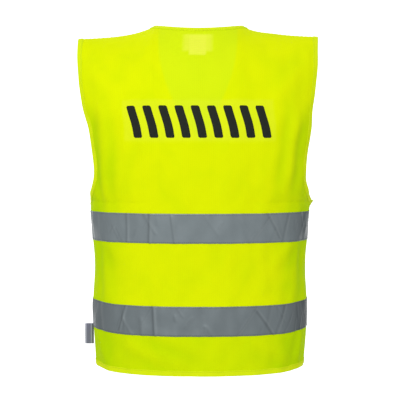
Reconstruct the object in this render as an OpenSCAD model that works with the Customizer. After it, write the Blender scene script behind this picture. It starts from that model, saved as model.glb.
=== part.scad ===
// High visibility vest: two front panels that open, one back panel, two retroreflective bands all round,
// bound edges, a hook and loop closure, neck labels and a tag in the side seam.
// The frame: +Z up, the wearer faces -Y and the wearer's left is +X. The origin is midway between the two
// points where the shoulder seams meet the neck, which is where the vest hangs.

/* [Vest] */
// Height from the neck ends of the shoulder seams to the hem
vest_h = 624; // [600:2:680]
// Half the width across the shoulder tips
shoulder_w = 218; // [208:1:232]
// How far the shoulder tips lie below the neck ends of the shoulder seams
shoulder_drop = 24; // [16:1:32]
// Height of the armhole's lowest point, below the origin
armhole_z = 322; // [300:1:330]
// Thickness of the knitted fabric, as a solid that stands for it
cloth_t = 1.2; // [0.8:0.1:1.6]

/* [Neck] */
// Half the width of the neck opening at the shoulder seams
neck_w = 81; // [75:1:90]
// How far the back neck dips below the neck ends of the shoulder seams
nape_drop = 9; // [5:1:15]
// Depth of the front neckline where the two fronts would meet
v_depth = 215; // [190:1:230]

/* [Bands] */
// Width of the retroreflective tape
band_w = 52; // [50:1:54]
// Top edge of the upper band, below the origin
upper_band_z = 340; // [335:1:350]
// Top edge of the lower band, below the origin
lower_band_z = 503; // [480:1:503]
// Thickness of the tape
band_t = 0.5; // [0.4:0.1:0.8]

/* [Binding] */
// How far the binding tape reaches in over the fabric
bind_w = 9; // [7:0.5:10]
// Thickness of one leg of the binding
bind_t = 0.6; // [0.5:0.1:0.8]

/* [Closure] */
// How far each front passes the centre line
overlap = 20; // [18:1:22]
// Width of a hook or loop strip
strip_w = 19; // [16:1:20]
// Length of a hook or loop strip
strip_h = 68; // [50:1:70]
// Thickness of a hook or loop strip
strip_t = 1.5; // [1.2:0.1:1.6]

/* [Front fold] */
// Height on the neckline where the fold of an opened front begins, below the origin
fold_top_z = 115; // [105:1:125]
// Distance of the fold from the centre line at the hem
fold_hem_x = 132; // [120:1:145]

/* [Labels] */
// Width of the neck label
label_w = 50; // [40:1:60]
// Height of the neck label
label_h = 32; // [25:1:40]
// Width of the care label that hangs over it
care_w = 30; // [25:1:35]
// Height of the care label
care_h = 38; // [30:1:45]
// How far the side tag stands out of the seam
tag_w = 14; // [10:1:18]
// Height of the side tag
tag_h = 38; // [30:1:45]
// Top of the side tag, below the origin
tag_z = 550; // [546:1:560]

/* [Back print] */
// Number of printed blocks in the row
print_count = 9; // [7:1:9]
// Width of one block
print_w = 15; // [12:1:20]
// Height of the row
print_h = 56; // [40:1:60]
// Distance from one block to the next
print_pitch = 28; // [24:1:30]
// Top of the row, below the origin
print_z = 152; // [140:1:170]

/* [Hidden] */

yellow = [0.87, 0.98, 0.05];
silver = [0.52, 0.57, 0.59];
white = [0.93, 0.93, 0.92];
slate = [0.30, 0.31, 0.38];
black = [0.08, 0.09, 0.09];

// [height, half width] of the vest at its sides: side seam below the armhole, armhole edge above it
side_outline = [
    [0, shoulder_w], [60, shoulder_w - 4], [130, shoulder_w - 11], [200, 196], [275, 189.5],
    [armhole_z, 200], [370, 198], [440, 193.5], [525, 197], [vest_h, 191.5]];
// [height, depth] of the back and of the front, from the plane of the seams
back_depths = [[0, 120], [100, 126], [200, 130], [330, 125], [450, 119], [540, 121], [vest_h, 124]];
front_depths = [[0, 118], [100, 124], [220, 132], [330, 130], [450, 126], [540, 126], [vest_h, 128]];
// Exponents of the superellipse that the back and the front follow round the body
back_n = 2.25;
front_n = 2.6;
// The armhole's half opening as a share of the depth there, and the height of its round lower end
armhole_share = 0.5;
armhole_round = 60;
// The shoulder rounds over from the ridge to the full depth within this height, by this power
shoulder_round = 170;
shoulder_power = 0.62;
// The ridge of the shoulders falls from the neck within this distance, and rises this far inside the neck
ridge_run = 45;
ridge_neck = 17;
// Height over which the slope of the shoulders fades out down the vest
slope_fade = 250;

// Gap between pieces that are sewn together, and between a binding and the fabric inside it
sewn_gap = 0.3;
bind_gap = 1.0;
// Gap between a strip and its front, and between the hooks and the loops
strip_gap = 0.2;
closed_gap = 0.3;
// Half the gap between two panels that meet along the fold
fold_gap = 0.4;
// The panels stop this far short of the ridge and of the side seam
ridge_gap = 0.02;
seam_phi = 89.9;
// Distance of the upper layer from the lower one where the fronts overlap
lift_h = cloth_t + 2 * strip_t + 2 * strip_gap + closed_gap;
// The upper front comes down to the lower one between these distances from the centre line
lift_near = 24;
lift_far = 60;
// Panel grid: columns of half the neck, from there to the armhole, of a side part and of a flap, then rows
// of each stretch of height
neck_cols = 8;
shoulder_cols = 12;
side_cols = 12;
flap_cols = 12;
flap_rows = 20;
chest_rows = 16;
arch_rows = 8;
waist_rows = 9;
// Rows lie closer together towards the ridge of the shoulders, and columns towards the neck, by these powers
row_power = 2.2;
col_power = 1.25;
// Depth of a seam allowance
seam_w = 6;
seam_t = 1.6;

// ---- Small functions

function clamp01(t) = min(1, max(0, t));
function smooth01(t) = (1 - cos(180 * clamp01(t))) / 2;
function unit(v) = v / norm(v);

// Smooth curve through [u, value] knots, with the slope at each knot taken from its neighbours
function knot_slope(k, i) = let (a = max(0, i - 1), b = min(len(k) - 1, i + 1))
    (k[b][1] - k[a][1]) / (k[b][0] - k[a][0]);
function curve(k, u) = let (
    i = max([0, for (j = [0:len(k) - 2]) if (u >= k[j][0]) j]),
    w = k[i + 1][0] - k[i][0],
    t = clamp01((u - k[i][0]) / w))
    (2 * t ^ 3 - 3 * t ^ 2 + 1) * k[i][1] + (t ^ 3 - 2 * t ^ 2 + t) * w * knot_slope(k, i)
    + (3 * t ^ 2 - 2 * t ^ 3) * k[i + 1][1] + (t ^ 3 - t ^ 2) * w * knot_slope(k, i + 1);

// ---- The vest's surface. h is a height below the origin before the shoulders' slope is added, phi the angle
// round the body from the centre of the panel, and side is 1 for the back and -1 for the front.

function armhole(h) = h >= armhole_z ? 0
    : armhole_share * sqrt(1 - (1 - min(1, (armhole_z - h) / armhole_round)) ^ 2);
function edge_phi(h) = min(seam_phi, asin((1 - armhole(h) ^ back_n) ^ (1 / back_n)));
function body_w(h) = curve(side_outline, h) / sin(edge_phi(h));
function ridge(x) = abs(x) < neck_w ? ridge_neck * (1 - (x / neck_w) ^ 2)
    : -shoulder_drop * (1 - exp(-(abs(x) - neck_w) / ridge_run));
function top_z(x) = abs(x) < neck_w ? -nape_drop * (1 - (x / neck_w) ^ 2) : ridge(x);
function phi_at(x, h) = asin(min(1, max(-1, x / body_w(h))));

function base_point(side, phi, h) = let (
    x = body_w(h) * sin(phi),
    z = top_z(x) * (1 - smooth01(h / slope_fade)) - h,
    round_in = sin(90 * clamp01((ridge(x) - z) / shoulder_round) ^ shoulder_power),
    n = side > 0 ? back_n : front_n,
    depth = curve(side > 0 ? back_depths : front_depths, h) * (1 - abs(sin(phi)) ^ n) ^ (1 / n))
    [x, side * depth * round_in, z];

function slope_phi(side, phi, h) = let (a = max(-90, phi - 0.5), b = min(90, phi + 0.5))
    (base_point(side, b, h) - base_point(side, a, h)) / (b - a);
function slope_h(side, phi, h) = let (a = max(0, h - 0.5), b = min(vest_h, h + 0.5))
    (base_point(side, phi, b) - base_point(side, phi, a)) / (b - a);
function outward(side, phi, h) = -side * unit(cross(slope_h(side, phi, h), slope_phi(side, phi, h)));

// The left front passes over the right one at the centre
function lift(side, x) = side > 0 ? 0 : lift_h * (1 - smooth01((x - lift_near) / (lift_far - lift_near)));
function skin(side, phi, h, off, upper = false) =
    let (p = base_point(side, phi, h))
    p + outward(side, phi, h) * (off + (upper ? lift(side, p[0]) : 0));

// ---- Edges of the panels, as distances from the centre line

function neckline_x(h) = max(-overlap, neck_w * (1 - (h / v_depth) ^ 2));
fold_top_x = neck_w * (1 - (fold_top_z / v_depth) ^ 2);
function fold_x(h) = fold_top_x + (fold_hem_x - fold_top_x) * (h - fold_top_z) / (vest_h - fold_top_z);
// Heights of the rows: from the ridge to the armhole's round end, round that end, and on to the hem
arch_z = armhole_z - armhole_round;
row_heights = concat(
    [for (k = [0:chest_rows - 1]) ridge_gap + (arch_z - ridge_gap) * (k / chest_rows) ^ row_power],
    [for (k = [0:arch_rows - 1]) arch_z + armhole_round * sin(90 * k / arch_rows)],
    [for (k = [0:waist_rows]) armhole_z + (vest_h - armhole_z) * k / waist_rows]);
// The flap starts where the front between the neckline and the fold is wide enough for the binding
flap_top = fold_top_z + 24;
flap_cut = flap_top - 0.5;

// Columns as shares of a panel's width; those of the back lie closer together towards the ends of the neck
function even(cols) = [for (j = [0:cols]) j / cols];
function spread(cols) = [for (j = [0:cols]) (j / cols) ^ col_power];
function nape_phi(j) = phi_at(neck_w * sin(90 * j / neck_cols), 0);
neck_share = nape_phi(neck_cols) / edge_phi(0);
half_shares = concat([for (j = [1:neck_cols]) nape_phi(j) / edge_phi(0)],
    [for (t = spread(shoulder_cols)) if (t > 0) neck_share + (1 - neck_share) * t]);
back_shares = concat([for (j = [len(half_shares) - 1:-1:0]) (1 - half_shares[j]) / 2], [0.5],
    [for (t = half_shares) (1 + t) / 2]);

// ---- Solids

// A closed solid from rings of equal length. Unless it closes on itself, each end is a fan of triangles, or
// the quads that ends lists for a ring that isn't convex.
module loft(rings, closed_path = false, ends = []) {
    n = len(rings[0]);
    m = len(rings);
    last = closed_path ? m - 1 : m - 2;
    cap = len(ends) > 0 ? [for (q = ends, t = [[q[0], q[1], q[2]], [q[0], q[2], q[3]]]) t]
        : [for (j = [1:n - 2]) [0, j, j + 1]];
    polyhedron(
        points = [for (r = rings, p = r) p],
        faces = concat(
            [for (i = [0:last], j = [0:n - 1]) let (a = i * n, b = (i + 1) % m * n, c = (j + 1) % n)
                [a + j, b + j, b + c]],
            [for (i = [0:last], j = [0:n - 1]) let (a = i * n, b = (i + 1) % m * n, c = (j + 1) % n)
                [a + j, b + c, a + c]],
            closed_path ? [] : cap,
            closed_path ? [] : [for (t = cap) [for (k = [2:-1:0]) (m - 1) * n + t[k]]]));
}

// A sheet between an outer and an inner grid of points, each a list of rows
module sheet(outer, inner) {
    m = len(outer);
    n = len(outer[0]);
    k = m * n;
    function quad(a, b, c, d) = [[a, b, c], [a, c, d]];
    rim = concat([for (j = [0:n - 1]) j], [for (i = [1:m - 1]) i * n + n - 1],
        [for (j = [n - 2:-1:0]) (m - 1) * n + j], [for (i = [m - 2:-1:1]) i * n]);
    polyhedron(
        points = concat([for (r = outer, p = r) p], [for (r = inner, p = r) p]),
        faces = concat(
            [for (i = [0:m - 2], j = [0:n - 2], f = quad(i * n + j, i * n + j + 1, (i + 1) * n + j + 1,
                (i + 1) * n + j)) f],
            [for (i = [0:m - 2], j = [0:n - 2], f = quad(k + i * n + j, k + (i + 1) * n + j,
                k + (i + 1) * n + j + 1, k + i * n + j + 1)) f],
            [for (e = [0:len(rim) - 1], f = let (a = rim[e], b = rim[(e + 1) % len(rim)])
                quad(a, k + a, k + b, b)) f]));
}

// A patch of the vest; from_phi and to_phi give its sides at a height, and shares its columns between them
module patch(side, heights, from_phi, to_phi, shares, low, high, upper = false) {
    function grid(off) = [for (h = heights) let (a = from_phi(h), b = to_phi(h))
        [for (t = shares) skin(side, a + (b - a) * t, h, off, upper)]];
    if (side > 0) sheet(grid(low), grid(high)); else sheet(grid(high), grid(low));
}

// Mirrors a left piece to make the right one
module handed(left) {
    if (left) children(); else mirror([1, 0, 0]) children();
}

// The U of a binding: [distance in from the edge, offset from the fabric's middle], and quads that fill it
bind_low = cloth_t / 2 + bind_gap;
bind_high = bind_low + bind_t;
bind_web = -bind_gap - bind_t;
bind_mid = bind_w / 2;
walk_steps = 4;
bind_section = [[bind_web, -bind_high], [bind_web, bind_high], [bind_mid, bind_high], [bind_w, bind_high],
    [bind_w, bind_low], [bind_mid, bind_low], [-bind_gap, bind_low], [-bind_gap, -bind_low],
    [bind_mid, -bind_low], [bind_w, -bind_low], [bind_w, -bind_high], [bind_mid, -bind_high]];
bind_ends = [[0, 1, 6, 7], [1, 2, 5, 6], [2, 3, 4, 5], [7, 8, 11, 0], [8, 9, 10, 11]];

// phi and h after a walk of a given distance along the surface, in a few steps, each towards inward
function walk(side, phi, h, inward, a, steps) = steps == 0 ? [phi, h] : let (
    p = slope_phi(side, phi, h), q = slope_h(side, phi, h),
    det = (p * p) * (q * q) - (p * q) ^ 2,
    dp = ((inward * p) * (q * q) - (inward * q) * (p * q)) / det,
    dq = ((inward * q) * (p * p) - (inward * p) * (p * q)) / det,
    far = a / steps)
    walk(side, max(-seam_phi, min(seam_phi, phi + far * dp)), min(vest_h, max(0, h + far * dq)),
        inward, a - far, steps - 1);

// A point at a distance in from an edge
function stepped(side, phi, h, inward, a, off, upper) =
    a <= 0 ? skin(side, phi, h, off, upper) + inward * a
    : let (at = walk(side, phi, h, inward, a, walk_steps)) skin(side, at[0], at[1], off, upper);

// A binding along stations [side, phi, h]; turn is 1 or -1, so that the U opens towards the fabric
module binding(stations, turn, closed_path = false, upper = false) {
    n = len(stations);
    mid = [for (s = stations) skin(s[0], s[1], s[2], 0, upper)];
    function near(i, d) = closed_path ? (i + d + n) % n : max(0, min(n - 1, i + d));
    loft([for (i = [0:n - 1]) let (
        s = stations[i],
        along = unit(mid[near(i, 1)] - mid[near(i, -1)]),
        inward = turn * unit(cross(outward(s[0], s[1], s[2]), along)))
        [for (c = bind_section) stepped(s[0], s[1], s[2], inward, c[0], c[1], upper)]],
        closed_path, bind_ends);
}

// ---- Panels

module back_panel() color(yellow)
    patch(1, row_heights, function (h) -edge_phi(h), function (h) edge_phi(h), back_shares,
        -cloth_t / 2, cloth_t / 2);

// The part of a front that stays put when it opens: shoulder, armhole and side
side_heights = concat([for (h = row_heights) if (h < flap_cut - 2) h], [flap_cut - 0.05, flap_cut],
    [for (h = row_heights) if (h > flap_cut + 2) h]);
module front_side_panel(left) color(yellow) handed(left)
    patch(-1, side_heights, function (h) phi_at(h < flap_cut ? neckline_x(h) : fold_x(h) + fold_gap, h),
        function (h) edge_phi(h), spread(side_cols), -cloth_t / 2, cloth_t / 2);

flap_heights = [for (k = [0:flap_rows]) flap_top + (vest_h - flap_top) * k / flap_rows];
function flap_in(h) = phi_at(neckline_x(h), h);
function flap_out(h) = phi_at(fold_x(h) - fold_gap, h);

// The part of a front that folds open
module front_flap_panel(left) color(yellow) handed(left)
    patch(-1, flap_heights, function (h) flap_in(h), function (h) flap_out(h), even(flap_cols),
        -cloth_t / 2, cloth_t / 2, left);

// ---- Bands

function band_heights(top) = [for (k = [0:2]) top + band_w * k / 2];
band_low = cloth_t / 2 + sewn_gap;
band_high = band_low + band_t;

module back_band(top) color(silver)
    patch(1, band_heights(top), function (h) -edge_phi(h), function (h) edge_phi(h), back_shares,
        band_low, band_high);

module side_band(left, top) color(silver) handed(left)
    patch(-1, band_heights(top), function (h) phi_at(fold_x(h) + fold_gap, h), function (h) edge_phi(h),
        spread(side_cols), band_low, band_high);

module flap_band(left, top) color(silver) handed(left)
    patch(-1, band_heights(top), function (h) phi_at(bind_w + 1 - overlap, h), function (h) flap_out(h),
        even(flap_cols), band_low, band_high, left);

// ---- Bindings

// The neck binding ends above the cut, by as much as its square end comes down on the inner side
neck_end = flap_cut - 4;
neck_heights = concat([for (h = row_heights) if (h > 0.1 && h < neck_end - 4) h], [neck_end]);
neck_last = len(neck_heights) - 1;
neck_stations = concat(
    [for (k = [neck_last:-1:0]) let (h = neck_heights[k]) [-1, -phi_at(neckline_x(h), h), h]],
    [for (j = [-neck_cols:neck_cols]) [1, nape_phi(j), 0]],
    [for (h = neck_heights) [-1, phi_at(neckline_x(h), h), h]]);

module neck_binding() color(yellow) binding(neck_stations, 1);

// The armhole's binding has a station at each row of the panels, and halfway between two rows
armhole_rows = concat([0], [for (k = [1:chest_rows + arch_rows]) row_heights[k]]);
armhole_heights = [for (k = [0:2 * (chest_rows + arch_rows)])
    (armhole_rows[floor(k / 2)] + armhole_rows[ceil(k / 2)]) / 2];
armhole_last = len(armhole_heights) - 1;
armhole_stations = concat(
    [for (k = [0:armhole_last]) [1, edge_phi(armhole_heights[k]), armhole_heights[k]]],
    [for (k = [armhole_last - 1:-1:1]) [-1, edge_phi(armhole_heights[k]), armhole_heights[k]]]);

module armhole_binding(left) color(yellow) handed(left) binding(armhole_stations, 1, true);

function hem_phi(t) = let (a = phi_at(fold_hem_x + fold_gap, vest_h)) a + (seam_phi - a) * t;
hem_shares = [for (t = spread(side_cols)) if (t < 1) t];
hem_stations = concat(
    [for (t = hem_shares) [-1, -hem_phi(t), vest_h]],
    [for (t = back_shares) [1, -seam_phi + 2 * seam_phi * t, vest_h]],
    [for (k = [len(hem_shares) - 1:-1:0]) [-1, hem_phi(hem_shares[k]), vest_h]]);

module back_hem_binding() color(yellow) binding(hem_stations, -1);

module front_edge_binding(left) color(yellow) handed(left)
    binding([for (h = flap_heights) [-1, flap_in(h), h]], 1, false, left);

module front_hem_binding(left) color(yellow) handed(left)
    binding([for (k = [0:flap_cols]) let (a = phi_at(bind_w + 1 - overlap, vest_h))
        [-1, a + (flap_out(vest_h) - a) * k / flap_cols, vest_h]], 1, false, left);

// ---- Seams

// A seam allowance that hangs below the ridge from the neck to the shoulder tip
module shoulder_seam(left) color(yellow) handed(left)
    loft([for (k = [0:12]) let (x = neck_w + bind_w + 2 + (shoulder_w - neck_w - 2 * bind_w - 4) * k / 12,
        z = ridge(x) - cloth_t / 2 - 0.5,
        y = seam_t / 2)
        [[x, -y, z - seam_w], [x, y, z - seam_w], [x, y, z], [x, -y, z]]]);

// A seam allowance that points in from the side seam, from the armhole to the hem
module side_seam(left) color(yellow) handed(left)
    loft([for (k = [0:14]) let (h = armhole_z + bind_w + 2 + (vest_h - armhole_z - 2 * bind_w - 4) * k / 14,
        x = curve(side_outline, h) - cloth_t / 2 - 0.5,
        y = seam_t / 2)
        [[x - seam_w, -y, -h], [x, -y, -h], [x, y, -h], [x - seam_w, y, -h]]]);

// ---- Closure

upper_strip_z = 264;
lower_strip_z = 412;
strip_low = cloth_t / 2 + strip_gap;
function strip_heights(top) = [for (k = [0:4]) top + strip_h * k / 4];

module hook_strip(top) color(yellow)
    patch(-1, strip_heights(top), function (h) phi_at(-strip_w / 2, h), function (h) phi_at(strip_w / 2, h),
        even(2), -strip_low - strip_t, -strip_low, true);

module loop_strip(top) color(yellow)
    patch(-1, strip_heights(top), function (h) phi_at(-strip_w / 2, h), function (h) phi_at(strip_w / 2, h),
        even(2), strip_low, strip_low + strip_t);

// ---- Labels, tag and print

label_top = bind_w + 3;
label_t = 0.4;
label_off = -cloth_t / 2 - 0.8;
care_off = label_off - label_t - 1;

module label(w, h, off) color(white)
    patch(1, [for (k = [0:4]) label_top + h * k / 4], function (t) -phi_at(w / 2, t),
        function (t) phi_at(w / 2, t), even(4), off - label_t, off);

tag_t = 1;
tag_gap = 0.9;
tag_x = curve(side_outline, tag_z) + band_high + tag_gap;

module side_tag() color(slate)
    translate([tag_x, -tag_t / 2, -tag_z - tag_h]) cube([tag_w, tag_t, tag_h]);

print_t = 0.2;
print_low = cloth_t / 2 + sewn_gap;
print_slant = 10;

// One slanted block of the printed row. The row is level, so that its heights rise where the shoulders fall.
module print_block(x) {
    top = print_z + top_z(x) * (1 - smooth01((print_z + print_h / 2) / slope_fade));
    function lean(h) = x + print_slant * (0.5 - (h - top) / print_h);
    patch(1, [for (k = [0:6]) top + print_h * k / 6], function (h) phi_at(lean(h) - print_w / 2, h),
        function (h) phi_at(lean(h) + print_w / 2, h), even(3), print_low, print_low + print_t);
}

module back_print() color(black)
    for (k = [0:print_count - 1]) print_block((k - (print_count - 1) / 2) * print_pitch);

back_panel();
front_side_panel(true);  // left_front_side_panel
front_side_panel(false);  // right_front_side_panel
front_flap_panel(true);  // left_front_flap_panel
front_flap_panel(false);  // right_front_flap_panel
back_band(upper_band_z);  // back_upper_band
back_band(lower_band_z);  // back_lower_band
side_band(true, upper_band_z);  // left_side_upper_band
side_band(true, lower_band_z);  // left_side_lower_band
side_band(false, upper_band_z);  // right_side_upper_band
side_band(false, lower_band_z);  // right_side_lower_band
flap_band(true, upper_band_z);  // left_flap_upper_band
flap_band(true, lower_band_z);  // left_flap_lower_band
flap_band(false, upper_band_z);  // right_flap_upper_band
flap_band(false, lower_band_z);  // right_flap_lower_band
neck_binding();
armhole_binding(true);  // left_armhole_binding
armhole_binding(false);  // right_armhole_binding
back_hem_binding();
front_edge_binding(true);  // left_front_edge_binding
front_edge_binding(false);  // right_front_edge_binding
front_hem_binding(true);  // left_front_hem_binding
front_hem_binding(false);  // right_front_hem_binding
shoulder_seam(true);  // left_shoulder_seam
shoulder_seam(false);  // right_shoulder_seam
side_seam(true);  // left_side_seam
side_seam(false);  // right_side_seam
hook_strip(upper_strip_z);  // left_upper_hook_strip
hook_strip(lower_strip_z);  // left_lower_hook_strip
loop_strip(upper_strip_z);  // right_upper_loop_strip
loop_strip(lower_strip_z);  // right_lower_loop_strip
label(label_w, label_h, label_off);  // neck_label
label(care_w, care_h, care_off);  // care_label
side_tag();
back_print();
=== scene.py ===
"""High visibility vest: its looks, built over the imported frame.

Metres. +Z is up, the wearer faces -Y and the wearer's left is +X. A height h is a distance down from the neck ends
of the shoulder seams, and phi is the angle round the body from the middle of the back or of a front.
"""

import math
from collections import namedtuple

import bmesh
import bpy
import numpy as np
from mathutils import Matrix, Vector

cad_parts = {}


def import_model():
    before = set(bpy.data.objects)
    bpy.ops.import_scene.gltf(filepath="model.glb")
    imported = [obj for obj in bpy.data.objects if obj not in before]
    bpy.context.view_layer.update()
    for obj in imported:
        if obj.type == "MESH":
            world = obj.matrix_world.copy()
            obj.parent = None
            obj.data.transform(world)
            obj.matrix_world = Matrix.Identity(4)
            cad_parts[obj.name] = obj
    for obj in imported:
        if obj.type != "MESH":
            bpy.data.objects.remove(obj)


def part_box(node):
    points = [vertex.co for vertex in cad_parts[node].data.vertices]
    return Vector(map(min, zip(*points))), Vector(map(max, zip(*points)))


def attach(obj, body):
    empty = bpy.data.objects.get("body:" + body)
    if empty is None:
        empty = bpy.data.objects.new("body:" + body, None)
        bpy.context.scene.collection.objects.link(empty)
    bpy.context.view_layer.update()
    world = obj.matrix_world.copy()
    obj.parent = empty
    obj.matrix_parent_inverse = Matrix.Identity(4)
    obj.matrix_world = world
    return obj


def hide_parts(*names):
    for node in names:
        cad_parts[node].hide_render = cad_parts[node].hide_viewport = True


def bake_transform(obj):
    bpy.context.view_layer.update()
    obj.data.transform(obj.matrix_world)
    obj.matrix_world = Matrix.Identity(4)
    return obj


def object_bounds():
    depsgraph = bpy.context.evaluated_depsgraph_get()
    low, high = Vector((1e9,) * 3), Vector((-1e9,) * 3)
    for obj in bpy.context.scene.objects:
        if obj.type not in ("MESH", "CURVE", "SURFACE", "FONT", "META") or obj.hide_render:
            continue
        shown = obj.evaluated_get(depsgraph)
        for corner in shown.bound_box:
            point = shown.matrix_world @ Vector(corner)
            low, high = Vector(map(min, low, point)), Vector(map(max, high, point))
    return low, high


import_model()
cad_low, cad_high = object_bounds()


def drop(node):
    """The heights of a CAD node's top and bottom."""
    low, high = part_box(node)
    return -high.z, -low.z


# ---- Sizes that drive the shape, the same as the CAD's
VEST_H = drop("back_panel")[1]
SHOULDER_W = 0.218
SHOULDER_DROP = 0.024
ARMHOLE_Z = 0.322
NECK_W = 0.081
NAPE_DROP = 0.009
V_DEPTH = 0.215
OVERLAP = 0.020
UPPER_BAND, LOWER_BAND = drop("back_upper_band"), drop("back_lower_band")

SIDE_OUTLINE = [(0, SHOULDER_W), (0.060, 0.214), (0.130, 0.207), (0.200, 0.196), (0.275, 0.1895),
                (ARMHOLE_Z, 0.200), (0.370, 0.198), (0.440, 0.1935), (0.525, 0.197), (VEST_H, 0.1915)]
BACK_DEPTHS = [(0, 0.120), (0.100, 0.126), (0.200, 0.130), (0.330, 0.125), (0.450, 0.119), (0.540, 0.121),
               (VEST_H, 0.124)]
FRONT_DEPTHS = [(0, 0.118), (0.100, 0.124), (0.220, 0.132), (0.330, 0.130), (0.450, 0.126), (0.540, 0.126),
                (VEST_H, 0.128)]
BACK_N, FRONT_N = 2.25, 2.6
ARMHOLE_SHARE, ARMHOLE_ROUND = 0.5, 0.060
SHOULDER_ROUND, SHOULDER_POWER = 0.170, 0.62
RIDGE_RUN, RIDGE_NECK, SLOPE_FADE = 0.045, 0.017, 0.250
NECKLINE_BLEND = 0.008
NECK_SAG, HEM_RISE, SHOULDER_LEAN = 0.0042, 0.0034, 0.0044

# ---- Sizes of the looks
CLOTH_T = 0.0005
TAPE_LOW, TAPE_HIGH = 0.00030, 0.00060
BINDING_W = 0.0090
BINDING_T = 0.00085
EDGE_BINDING_T = 0.00110
HEM_END = 0.003
STITCH_LENGTH, STITCH_PITCH, STITCH_R = 0.0027, 0.0034, 0.00026
LIFT = 0.0034
LIFT_NEAR, LIFT_FAR = 0.024, 0.060
GIRTH = 0.21
CELL = 0.0035
TAPE_CELL = 0.0018
WALK_STEPS = 5

Part = namedtuple("Part", "name side mirror lift body")
BACK = Part("back", 1, 1, 0.0, None)
LEFT = Part("left", -1, 1, LIFT, "left_front")
RIGHT = Part("right", -1, -1, 0.0, "right_front")
BODY = "vest_body"


# ---- The vest's surface

def smooth(t):
    return (1 - np.cos(np.pi * np.clip(t, 0, 1))) / 2


def curve(knots, u):
    """Smooth curve through (u, value) knots, with the slope at each knot taken from its neighbours."""
    k = np.array(knots, float)
    last = len(k) - 1
    before, after = np.maximum(np.arange(last + 1) - 1, 0), np.minimum(np.arange(last + 1) + 1, last)
    slope = (k[after, 1] - k[before, 1]) / (k[after, 0] - k[before, 0])
    i = np.clip(np.searchsorted(k[:, 0], u, side="right") - 1, 0, last - 1)
    w = k[i + 1, 0] - k[i, 0]
    t = np.clip((u - k[i, 0]) / w, 0, 1)
    return ((2 * t**3 - 3 * t**2 + 1) * k[i, 1] + (t**3 - 2 * t**2 + t) * w * slope[i]
            + (3 * t**2 - 2 * t**3) * k[i + 1, 1] + (t**3 - t**2) * w * slope[i + 1])


def armhole(h):
    """Half the armhole's opening at a height, as a share of the depth there."""
    below = np.clip((ARMHOLE_Z - h) / ARMHOLE_ROUND, 0, 1)
    return ARMHOLE_SHARE * np.sqrt(1 - (1 - below) ** 2)


def edge_phi(h):
    return np.arcsin((1 - armhole(h) ** BACK_N) ** (1 / BACK_N))


def body_w(h):
    return curve(SIDE_OUTLINE, h) / np.sin(edge_phi(h))


def ridge(x):
    inside = np.abs(x) < NECK_W
    fall = -SHOULDER_DROP * (1 - np.exp(-np.maximum(np.abs(x) - NECK_W, 0) / RIDGE_RUN))
    return np.where(inside, RIDGE_NECK * (1 - (x / NECK_W) ** 2), fall)


def top_z(x):
    return np.where(np.abs(x) < NECK_W, -NAPE_DROP * (1 - (x / NECK_W) ** 2), ridge(x))


def phi_at(x, h):
    return np.arcsin(np.clip(x / body_w(h), -1, 1))


def base(side, phi, h):
    x = body_w(h) * np.sin(phi)
    z = top_z(x) * (1 - smooth(h / SLOPE_FADE)) - h
    rounding = np.sin(np.pi / 2 * np.clip((ridge(x) - z) / SHOULDER_ROUND, 0, 1) ** SHOULDER_POWER)
    n = BACK_N if side > 0 else FRONT_N
    depth = curve(BACK_DEPTHS if side > 0 else FRONT_DEPTHS, h) * (1 - np.abs(np.sin(phi)) ** n) ** (1 / n)
    return np.stack([x, side * depth * rounding, z], -1)


def hang(p):
    """The vest doesn't hang quite level: its shoulders lean and sag to one side, and its hem rises at the sides."""
    h = -p[..., 2]
    sag = -NECK_SAG * smooth((p[..., 0] + 0.145) / 0.06) * (1 - smooth(h / 0.20))
    rise = HEM_RISE * smooth((np.abs(p[..., 0]) - 0.145) / 0.055) * smooth((h - 0.40) / 0.15)
    lean = SHOULDER_LEAN * smooth((h + 0.06) / 0.12) * (1 - smooth((h - 0.145) / 0.05))
    return p + np.stack([lean, np.zeros(lean.shape), sag + rise], -1)


def slopes(side, phi, h):
    """How a point moves with phi and with h."""
    dp, dh = math.radians(0.5), 0.0005
    a, b = np.maximum(phi - dp, -np.pi / 2), np.minimum(phi + dp, np.pi / 2)
    c, d = np.maximum(h - dh, 0), np.minimum(h + dh, VEST_H)
    return ((base(side, b, h) - base(side, a, h)) / (b - a)[..., None],
            (base(side, phi, d) - base(side, phi, c)) / (d - c)[..., None])


def unit(v):
    return v / np.maximum(np.linalg.norm(v, axis=-1, keepdims=True), 1e-12)


def neckline_x(h):
    """Distance of a front's inner edge from the centre line: along the V neck, then down past the centre."""
    a, b = NECK_W * (1 - (h / V_DEPTH) ** 2), -OVERLAP
    return (a + b + np.sqrt((a - b) ** 2 + NECKLINE_BLEND**2)) / 2


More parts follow.
